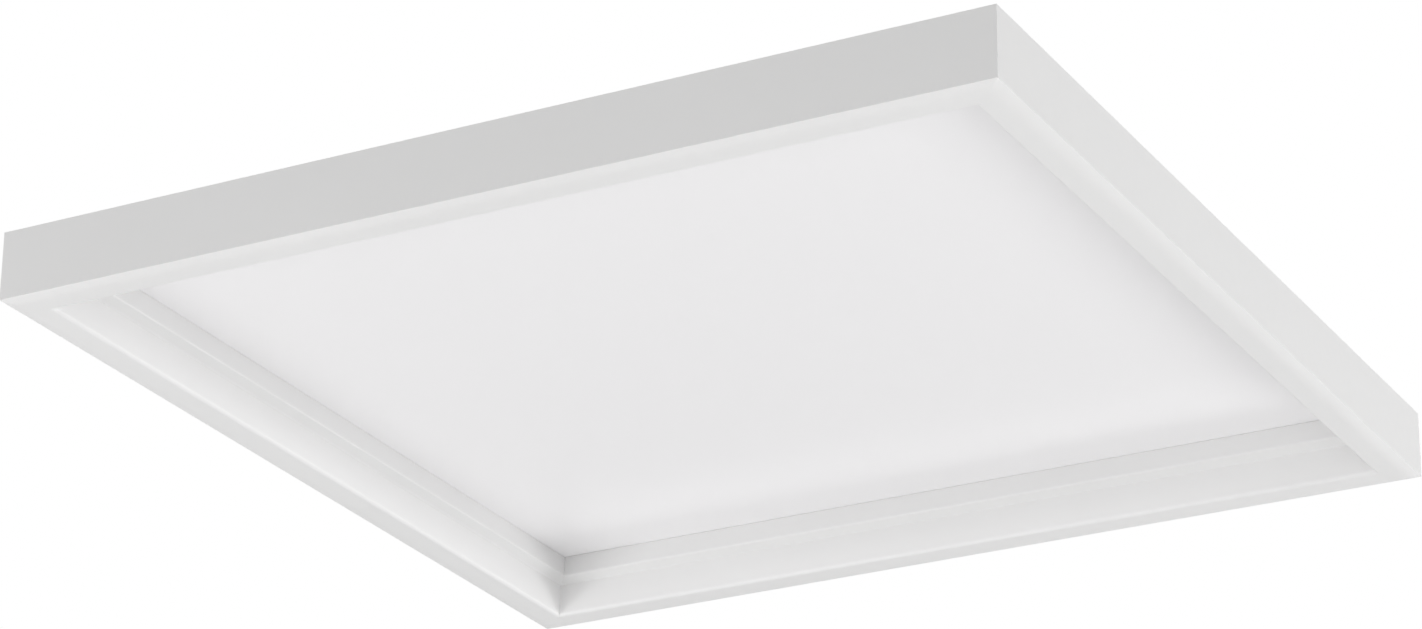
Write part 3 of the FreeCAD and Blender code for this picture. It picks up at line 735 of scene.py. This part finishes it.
def twin_section(height):
    """Outline of a flat twin lead, (across, up), with a groove along both faces."""
    b = settings("bars")
    radius = height / 2
    points = []
    for sign, start in ((1, -math.pi / 2), (-1, math.pi / 2)):
        for step in range(b.bend_steps + 1):
            angle = start + math.pi * step / b.bend_steps
            across = sign * (b.lead_width / 2 - radius) + radius * math.cos(angle)
            points.append((across, radius + radius * math.sin(angle)))
        groove = ((b.groove_width / 2, 0.0), (0.0, b.groove_depth), (-b.groove_width / 2, 0.0))
        for across, depth in groove:
            points.append((sign * across, radius + sign * (radius - depth)))
    return points


def swept(name, route, outline, foot):
    """Closed bar of an outline along a level route of plan points."""
    shape = bmesh.new()
    rings = []
    for index, point in enumerate(route):
        before = route[max(index - 1, 0)]
        after = route[min(index + 1, len(route) - 1)]
        ahead = (after - before).normalized()
        side = Vector((ahead.y, -ahead.x))
        rings.append(
            [shape.verts.new((*(point + side * across), foot + up)) for across, up in outline]
        )
    bridge_rings(shape, rings)
    for end in (rings[0], rings[-1]):
        shape.faces.new(end)
    mesh = new_mesh(name, shape)
    smooth(mesh)
    return mesh


# Pieces that repeat


TREE_INPUTS = {
    "Piece": "Object",
    "Copies": "Int",
    "First": "Float",
    "Pitch": "Float",
    "Sides": "Int",
    "First turn": "Float",
    "Turn": "Float",
    "Finish": "Material",
}
TREE_NAME = "Copies round the sides"
ONE_ROW = {"Sides": 1, "First turn": 0.0, "Turn": 0.0}
ALL_SIDES = {"Sides": 4, "First turn": 0.0, "Turn": math.radians(90)}
LEFT_AND_RIGHT = {"Sides": 2, "First turn": math.radians(90), "Turn": math.radians(180)}


def row_tree():
    """Copies of a piece in a row along X, and the row turned about Z at each side."""
    tree = bpy.data.node_groups.new(TREE_NAME, "GeometryNodeTree")
    for name, kind in TREE_INPUTS.items():
        tree.interface.new_socket(name, in_out="INPUT", socket_type="NodeSocket" + kind)
    tree.interface.new_socket("Geometry", in_out="OUTPUT", socket_type="NodeSocketGeometry")
    given = add(tree, "NodeGroupInput").outputs

    piece = add(
        tree, "GeometryNodeObjectInfo", {"Object": given["Piece"]}, transform_space="ORIGINAL"
    )
    first = add(tree, "ShaderNodeCombineXYZ", {"X": given["First"]})
    pitch = add(tree, "ShaderNodeCombineXYZ", {"X": given["Pitch"]})
    places = {
        "Count": given["Copies"], "Start Location": first.outputs[0], "Offset": pitch.outputs[0]
    }
    line = add(tree, "GeometryNodeMeshLine", places, mode="OFFSET")
    copied = {"Points": line.outputs["Mesh"], "Instance": piece.outputs["Geometry"]}
    row = add(tree, "GeometryNodeInstanceOnPoints", copied)
    bundle = add(tree, "GeometryNodeGeometryToInstance")
    tree.links.new(row.outputs["Instances"], bundle.inputs["Geometry"])

    at_middle = {"Count": given["Sides"], "Offset": (0.0, 0.0, 0.0)}
    sides = add(tree, "GeometryNodeMeshLine", at_middle, mode="OFFSET")
    index = add(tree, "GeometryNodeInputIndex").outputs["Index"]
    sum_inputs = {0: index, 1: given["Turn"], 2: given["First turn"]}
    turned = add(tree, "ShaderNodeMath", sum_inputs, operation="MULTIPLY_ADD")
    rotation = add(tree, "ShaderNodeCombineXYZ", {"Z": turned.outputs["Value"]})
    turned_rows = {
        "Points": sides.outputs["Mesh"],
        "Instance": bundle.outputs["Instances"],
        "Rotation": rotation.outputs[0],
    }
    ring = add(tree, "GeometryNodeInstanceOnPoints", turned_rows)
    real = add(tree, "GeometryNodeRealizeInstances", {"Geometry": ring.outputs["Instances"]})
    dressed = {"Geometry": real.outputs["Geometry"], "Material": given["Finish"]}
    finish = add(tree, "GeometryNodeSetMaterial", dressed)
    add(tree, "NodeGroupOutput", {"Geometry": finish.outputs["Geometry"]})
    return tree


def copies(name, mesh, finish, count, pitch, sides):
    """Plain mesh of a piece repeated by the tree, in rows centred on the sides."""
    tree = bpy.data.node_groups.get(TREE_NAME) or row_tree()
    master = new_object("master", mesh)
    carrier = new_object("carrier", bpy.data.meshes.new("carrier"))
    modifier = modify(carrier, "Copies", "NODES", node_group=tree)
    values = {
        "Piece": master,
        "Copies": count,
        "First": -pitch * (count - 1) / 2,
        "Pitch": pitch,
        "Finish": bpy.data.materials[finish],
        **sides,
    }
    for item in tree.interface.items_tree:
        if item.name in values:
            modifier[item.identifier] = values[item.name]
    result = evaluated_mesh(carrier)
    result.name = name
    for spare in (carrier, master):
        bpy.data.objects.remove(spare)
    return result


def screw_set(name, screw, node, count, pitch, sides=ALL_SIDES):
    """All screws or nuts of one kind, for the CAD node that holds them."""
    mesh = copies(name, screw, "zinc_fastener", count, pitch, sides)
    smooth(mesh)
    finished(name, mesh, "zinc_fastener", "zinc_screw", node)


def rivet_set(name, rivet, node, pitch):
    """All rivets of one kind on the bracket, two on each side."""
    mesh = copies(name, rivet, "rivet_steel", 2, pitch, LEFT_AND_RIGHT)
    smooth(mesh)
    finished(name, mesh, "rivet_steel", "rivet_steel", node, body=BRACKET)


def cross_recess(centre, long, narrow, depth, upright=False, taper=0.0):
    """Two crossed bars that cut a recess."""
    bars = []
    for wide, high in ((long, narrow), (narrow, long)):
        size = (wide, depth, high) if upright else (wide, high, depth)
        bars.append(slab("recess", size, centre, taper))
    return bars


# Operators


class LIGHT_OT_materials(bpy.types.Operator):
    """Make the finishes"""

    bl_idname = "light.materials"
    bl_label = "Finishes"

    def execute(self, context):
        build_materials()
        return {"FINISHED"}


class LIGHT_OT_frame(bpy.types.Operator):
    """Model the four mitred rails of the frame"""

    bl_idname = "light.frame"
    bl_label = "Frame Rails"

    def execute(self, context):
        outline = rounded(rail_outline(), settings("rails").arc_steps)
        for quarters, side in enumerate(("front", "right", "back", "left")):
            mesh = rail_mesh("rail_" + side, outline, quarters)
            node = "frame_rail_" + side
            keep_flats(finished("rail_" + side, mesh, "powder_coat", "frame_paint", node))
        return {"FINISHED"}


class LIGHT_OT_diffuser(bpy.types.Operator):
    """Model the opal sheet with broken edges"""

    bl_idname = "light.diffuser"
    bl_label = "Diffuser"

    def execute(self, context):
        low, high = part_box("diffuser")
        mesh = slab("opal_sheet", high - low, (low + high) / 2)
        smooth(mesh)
        piece = finished("opal_sheet", mesh, "opal_acrylic", "opal_acrylic", "diffuser")
        edges = {"width": OPAL_EDGE, "segments": EDGE_SEGMENTS, "harden_normals": True}
        modify(piece, "Broken edges", "BEVEL", **edges)
        return {"FINISHED"}


class LIGHT_OT_pan_screws(bpy.types.Operator):
    """Model the pan screws with their cross recess"""

    bl_idname = "light.pan_screws"
    bl_label = "Pan Screws"

    def execute(self, context):
        f = settings("fasteners")
        low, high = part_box("pan_screws")
        seat = high.z - f.pan_rise
        core, tip = f.pan_shank * 0.9, f.pan_shank * 0.4
        point, shoulder = 0.2 * MM, 1.4 * MM
        dome_height = f.pan_rise * 0.75
        dome = [
            (f.pan_head * math.cos(angle), high.z - dome_height * (1 - math.sin(angle)))
            for angle in (math.radians(10 * step) for step in range(9))
        ]
        profile = [
            (0.0, low.z),
            (tip, low.z + point),
            (core, low.z + shoulder),
            (core, seat),
            (f.pan_head * 0.97, seat),
            *dome,
            (0.0, high.z),
        ]
        centre = Vector((0.0, f.pan_inset - HALF, 0.0))
        blank = lathe("pan_screw", profile, HEAD_STEPS, centre)
        depth, over, taper = f.pan_rise * 0.62, 0.1 * MM, 0.5 * MM
        middle = centre + Vector((0.0, 0.0, high.z - depth / 2 + over))
        recess = cross_recess(middle, f.recess, f.recess * 0.26, depth, taper=taper)
        screw_set("pan_screw_set", carved(blank, recess), "pan_screws", 3, f.pan_pitch)
        return {"FINISHED"}


class LIGHT_OT_key_screws(bpy.types.Operator):
    """Model the set screws of the corner keys with their hexagon socket"""

    bl_idname = "light.key_screws"
    bl_label = "Key Screws"

    def execute(self, context):
        f = settings("fasteners")
        low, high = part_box("corner_key_screws")
        crest, root, end = f.key_radius, f.key_radius * 0.88, f.key_radius * 0.85
        profile = [(0.0, low.z), (crest * 0.7, low.z), (crest, low.z + f.key_thread)]
        up = low.z + 1.5 * f.key_thread
        while up < high.z - f.key_thread:
            profile += [(root, up), (crest, up + f.key_thread / 2)]
            up += f.key_thread
        profile += [(end, high.z), (0.0, high.z)]
        centre = Vector((0.0, f.key_inset - HALF, 0.0))
        foot, over = high.z - f.key_reach, high.z + f.key_reach
        socket = [(0.0, foot), (f.key_socket, foot), (f.key_socket, over), (0.0, over)]
        cutter = lathe("socket", socket, HEXAGON_STEPS, centre)
        screw = carved(lathe("key_screw", profile, ROUND_STEPS, centre), [cutter])
        screw_set("key_screw_set", screw, "corner_key_screws", 2, 2 * (HALF - f.key_place))
        return {"FINISHED"}


class LIGHT_OT_rivets(bpy.types.Operator):
    """Model the rivets of the hangers and of the springs"""

    bl_idname = "light.rivets"
    bl_label = "Rivets"

    def execute(self, context):
        f = settings("fasteners")
        low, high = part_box("hanger_rivets")
        profile = [
            (0.0, low.z),
            (f.rivet_head * 0.55, low.z + 0.05 * MM),
            (f.rivet_head * 0.85, low.z + 0.35 * MM),
            (f.rivet_head, low.z + f.rivet_rise),
            (f.rivet_radius, low.z + f.rivet_rise),
            (f.rivet_radius, high.z - f.rivet_rise),
            (f.rivet_head, high.z - 0.05 * MM),
            (f.rivet_head * 0.5, high.z),
            (0.0, high.z),
        ]
        centre = Vector((0.0, f.rivet_inset - HALF, 0.0))
        rivet = lathe("hanger_rivet", profile, ROUND_STEPS, centre)
        rivet_set("hanger_rivet_set", rivet, "hanger_rivets", f.rivet_pitch)

        low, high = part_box("spring_rivets")
        head = (high.z - low.z) / 2
        shank = head * 0.55
        far = f.spring_grip
        profile = [
            (0.0, 0.0),
            (head * 0.55, 0.08 * MM),
            (head * 0.9, 0.35 * MM),
            (head, f.spring_rise),
            (shank, f.spring_rise),
            (shank, far - f.spring_rise),
            (head, far - f.spring_rise),
            (head * 0.9, far - 0.3 * MM),
            (0.0, far),
        ]
        centre = Vector((0.0, low.x, (low.z + high.z) / 2))
        rivet = lathe("spring_rivet", profile, ROUND_STEPS, centre, along_y=True)
        rivet_set("spring_rivet_set", rivet, "spring_rivets", 2 * f.spring_place)
        return {"FINISHED"}


class LIGHT_OT_driver_fasteners(bpy.types.Operator):
    """Model the cover screws and the stud nuts of the driver"""

    bl_idname = "light.driver_fasteners"
    bl_label = "Driver Fasteners"

    def execute(self, context):
        f = settings("fasteners")
        low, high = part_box("driver_screws")
        head = (high.z - low.z) / 2
        end = f.cover_rise + f.cover_grip
        centre = Vector((0.0, low.x, (low.z + high.z) / 2))
        profile = [
            (0.0, 0.0),
            (head * 0.5, 0.05 * MM),
            (head * 0.82, 0.3 * MM),
            (head * 0.96, 0.7 * MM),
            (head, f.cover_rise),
            (f.cover_shank, f.cover_rise),
            (f.cover_shank, end - 0.6 * MM),
            (f.cover_shank * 0.5, end),
            (0.0, end),
        ]
        blank = lathe("cover_screw", profile, HEAD_STEPS, centre, along_y=True)
        depth = f.cover_rise
        middle = centre + Vector((0.0, depth * 0.1, 0.0))
        recess = cross_recess(middle, head * 1.25, head * 0.34, depth, upright=True)
        screw = carved(blank, recess)
        screw_set("cover_screw_set", screw, "driver_screws", 1, 0.0, LEFT_AND_RIGHT)

        low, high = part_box("driver_nuts")
        radius = high.x - f.stud_place
        profile = [
            (0.0, low.z),
            (radius * 0.88, low.z),
            (radius, low.z + f.nut_chamfer),
            (radius, high.z - f.nut_chamfer),
            (radius * 0.88, high.z),
            (0.0, high.z),
        ]
        foot, over = low.z - 1.0 * MM, high.z + 1.0 * MM
        bore = [(0.0, foot), (f.stud_bore, foot), (f.stud_bore, over), (0.0, over)]
        cutter = lathe("bore", bore, ROUND_STEPS)
        nut = carved(lathe("stud_nut", profile, HEXAGON_STEPS), [cutter])
        screw_set("stud_nut_set", nut, "driver_nuts", 2, 2 * f.stud_place, ONE_ROW)
        return {"FINISHED"}


class LIGHT_OT_light_sources(bpy.types.Operator):
    """Model the white packages of the light sources and their phosphor windows"""

    bl_idname = "light.light_sources"
    bl_label = "Light Sources"

    def execute(self, context):
        b = settings("bars")
        low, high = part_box("led_packages_left")
        face, depth, middle = high.x, high.x - low.x, (low.z + high.z) / 2
        size = Vector((b.package, depth, high.z - low.z))
        package = slab("package", size, Vector((0.0, face - depth / 2, middle)))
        opening = size - Vector((2 * b.window, 0.0, 2 * b.window))
        hollow = slab("hollow", opening, Vector((0.0, face + depth / 2 - b.dish, middle)))
        # The pane goes into the package by three quarters of its thickness
        pane = Vector((opening.x, b.pane, opening.z))
        window = slab("window", pane, Vector((0.0, face - b.dish - b.pane / 4, middle)))
        for name, mesh, finish, slot in (
            ("package_bodies", carved(package, [hollow]), "package_white", "board_white"),
            ("phosphor_windows", window, "phosphor", "led_phosphor"),
        ):
            row = copies(name, mesh, finish, b.count, b.pitch, LEFT_AND_RIGHT)
            finished(name, row, finish, slot, "led_packages_left", "led_packages_right")
        return {"FINISHED"}


class LIGHT_OT_leads(bpy.types.Operator):
    """Model the flat twin leads with the groove between their cores"""

    bl_idname = "light.leads"
    bl_label = "Twin Leads"

    def execute(self, context):
        b = settings("bars")
        for side, sign in (("left", -1), ("right", 1)):
            name, node = "twin_lead_" + side, "led_lead_" + side
            low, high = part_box(node)
            inner, outer = (low.x, high.x) if sign > 0 else (high.x, low.x)
            exit_x = inner + sign * b.lead_width / 2
            start = Vector((exit_x, low.y))
            corner = Vector((exit_x, b.lead_line))
            end = Vector((outer, b.lead_line))
            bend = arc_points(start, corner, end, b.lead_bend, b.bend_steps)
            section = twin_section(high.z - low.z)
            mesh = swept(name, [start, *bend, end], section, low.z)
            finished(name, mesh, "lead_jacket", "lead_jacket", node)
        return {"FINISHED"}


class LIGHT_OT_cad_finishes(bpy.types.Operator):
    """Give every carried-over node its finish and broken edges"""

    bl_idname = "light.cad_finishes"
    bl_label = "Node Finishes"

    def execute(self, context):
        for name, node in NODES.items():
            node.data.materials.clear()
            node.data.materials.append(bpy.data.materials[finish_of(name)])
            modify(node, "Weld", "WELD", merge_threshold=0.002 * MM)
            # Thin triangles beside the hanger rails' holes would spoil their bevel
            if name.startswith("hanger_rail"):
                flat = math.radians(FLAT_ANGLE)
                modify(node, "Flat faces", "DECIMATE", decimate_type="DISSOLVE", angle_limit=flat)
            modify(
                node,
                "Broken edges",
                "BEVEL",
                limit_method="ANGLE",
                angle_limit=math.radians(BROKEN_ANGLE),
                width=broken_edge(name),
                segments=EDGE_SEGMENTS,
                harden_normals=True,
                miter_outer="MITER_ARC",
            )
            keep_flats(node)
        return {"FINISHED"}


# Name, place, width and height of each lamp. Its power is in the stage's settings.
LAMPS = (
    ("key", (1.92, 1.92, -1.27), 1.0, 1.0),
    ("left", (-1.34, -1.34, -2.1), 1.13, 1.13),
    ("left_low", (-1.92, -1.92, -1.27), 1.0, 1.0),
    ("front", (1.34, -1.34, -2.1), 1.13, 1.13),
    ("front_low", (1.92, -1.92, -1.27), 1.0, 1.0),
    ("right_edge", (3.0, 0.0, -0.115), 1.5, 0.14),
    ("front_edge", (0.0, -3.0, -0.115), 1.5, 0.14),
    ("above", (0.0, 0.0, 1.5), 1.2, 1.2),
)


class LIGHT_OT_stage(bpy.types.Operator):
    """Set the floor, the lamps, the world and the camera"""

    bl_idname = "light.stage"
    bl_label = "Studio"

    def execute(self, context):
        s = settings("stage")
        build_floor(s.floor_reach, s.floor_depth)
        build_world(s.ambient)
        for name, place_at, width, height in LAMPS:
            build_lamp(name, Vector(place_at), width, height, getattr(s, name))
        build_overhead(s.overhead, s.overhead_spread)
        build_camera(s)
        context.scene.view_settings.view_transform = "Standard"
        return {"FINISHED"}


def build_floor(reach, depth):
    """Wide pale floor under the light."""
    mesh = bpy.data.meshes.new("floor")
    signs = ((-1, -1), (1, -1), (1, 1), (-1, 1))
    mesh.from_pydata([(x * reach, y * reach, -depth) for x, y in signs], [], [(0, 1, 2, 3)])
    material = new_material("floor", settings("finishes").floor, 0.8)
    roughen(material, noise(material, 3.0), 0.75, 0.85)
    mesh.materials.append(material)
    new_object("floor", mesh)


def build_world(level):
    """Even light all round, seen as white by the camera, by gloss and through glass."""
    world = bpy.data.worlds.new("studio")
    bpy.context.scene.world = world
    world.use_nodes = True
    tree = world.node_tree
    background = tree.nodes["Background"]
    background.inputs["Color"].default_value = (1.0, 1.0, 1.0, 1.0)
    path = add(tree, "ShaderNodeLightPath").outputs
    seen = path["Is Camera Ray"]
    for ray in ("Is Glossy Ray", "Is Transmission Ray"):
        either = add(tree, "ShaderNodeMath", {0: seen, 1: path[ray]}, operation="MAXIMUM")
        seen = either.outputs["Value"]
    strength = add(tree, "ShaderNodeMapRange", {"Value": seen, "To Min": level, "To Max": 1.0})
    tree.links.new(strength.outputs["Result"], background.inputs["Strength"])


def build_lamp(name, at, width, height, power):
    """Flat soft lamp, turned to the middle of the frame."""
    data = bpy.data.lights.new(name, "AREA")
    data.shape = "RECTANGLE"
    data.size = width
    data.size_y = height
    data.energy = power
    lamp = new_object(name, data)
    lamp.location = at
    lamp.rotation_mode = "QUATERNION"
    middle = Vector((0.0, 0.0, -HEIGHT / 2))
    lamp.rotation_quaternion = (middle - at).to_track_quat("-Z", "Y")
    lamp.visible_camera = False


def build_overhead(strength, spread_angle):
    """Soft light straight down, as even on the far floor as on the near."""
    data = bpy.data.lights.new("overhead", "SUN")
    data.energy = strength
    data.angle = spread_angle
    new_object("overhead", data)


def build_camera(s):
    """Camera of the photograph's view."""
    data = bpy.data.cameras.new("camera")
    data.sensor_width = 36.0
    data.lens = s.focal_length
    camera = new_object("camera", data)
    forward = Vector(s.forward).normalized()
    up = Vector(s.right).cross(forward).normalized()
    axes = Matrix((forward.cross(up), up, -forward)).transposed()
    camera.matrix_world = Matrix.Translation(s.eye) @ axes.to_4x4()
    bpy.context.scene.camera = camera


# The add-on


OPERATORS = (
    LIGHT_OT_materials,
    LIGHT_OT_frame,
    LIGHT_OT_diffuser,
    LIGHT_OT_pan_screws,
    LIGHT_OT_key_screws,
    LIGHT_OT_rivets,
    LIGHT_OT_driver_fasteners,
    LIGHT_OT_light_sources,
    LIGHT_OT_leads,
    LIGHT_OT_cad_finishes,
    LIGHT_OT_stage,
)


class LIGHT_PT_panel(bpy.types.Panel):
    """Panel in the sidebar of the 3D view"""

    bl_idname = "LIGHT_PT_panel"
    bl_label = "Ceiling Light"
    bl_space_type = "VIEW_3D"
    bl_region_type = "UI"
    bl_category = "Ceiling Light"

    def draw(self, context):
        for operator in OPERATORS:
            self.layout.operator(operator.bl_idname)
        for name in GROUPS:
            group = settings(name)
            box = self.layout.box()
            for key in group.__annotations__:
                box.prop(group, key)


CLASSES = (*GROUPS.values(), *OPERATORS, LIGHT_PT_panel)


def register():
    for item in CLASSES:
        bpy.utils.register_class(item)
    for name, group in GROUPS.items():
        setattr(bpy.types.Scene, "light_" + name, PointerProperty(type=group))


def unregister():
    for name in GROUPS:
        delattr(bpy.types.Scene, "light_" + name)
    for item in reversed(CLASSES):
        bpy.utils.unregister_class(item)


def main():
    register()
    for operator in OPERATORS:
        getattr(bpy.ops.light, operator.bl_idname.split(".")[1])()


if __name__ == "__main__":
    main()
